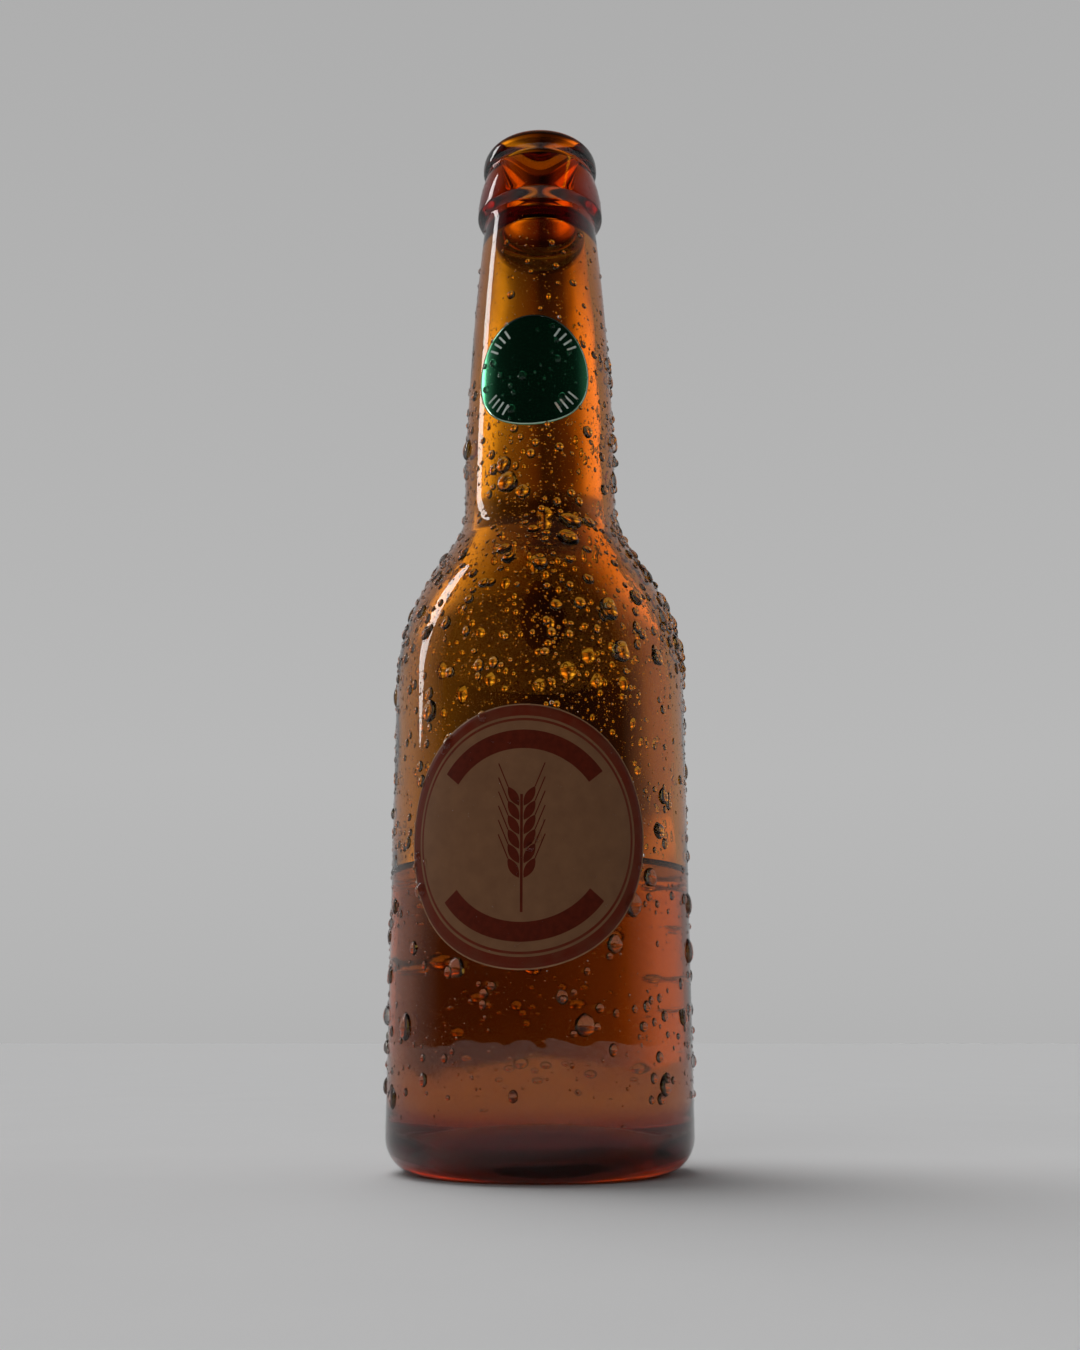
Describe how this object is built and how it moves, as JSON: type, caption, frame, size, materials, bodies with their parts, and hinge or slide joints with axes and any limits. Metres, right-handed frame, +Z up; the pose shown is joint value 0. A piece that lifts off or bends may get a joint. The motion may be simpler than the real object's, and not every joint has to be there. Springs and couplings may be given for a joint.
{
  "type": "beer bottle",
  "caption": "Long-neck amber glass beer bottle with crown finish, open and part drunk, beer in the body and round neck and body labels.",
  "frame": {"origin": "middle of the base, in the plane of the ring the bottle stands on", "axes": "+Z up the bottle's axis to the mouth; -Y is the side with both labels; +X to the right when facing the labels"},
  "size_m": [0.061, 0.0612, 0.228],
  "materials": {
    "amber_glass": "clear amber bottle glass, chilled and wet",
    "beer": "clear red-brown liquid",
    "green_foil": "green printed metallic foil, gloss",
    "label_paper": "printed paper, satin"
  },
  "bodies": {
    "root": {"glass_bottle": "amber_glass", "beer": "beer", "neck_label": "green_foil", "body_label": "label_paper"}
  },
  "joints": []
}
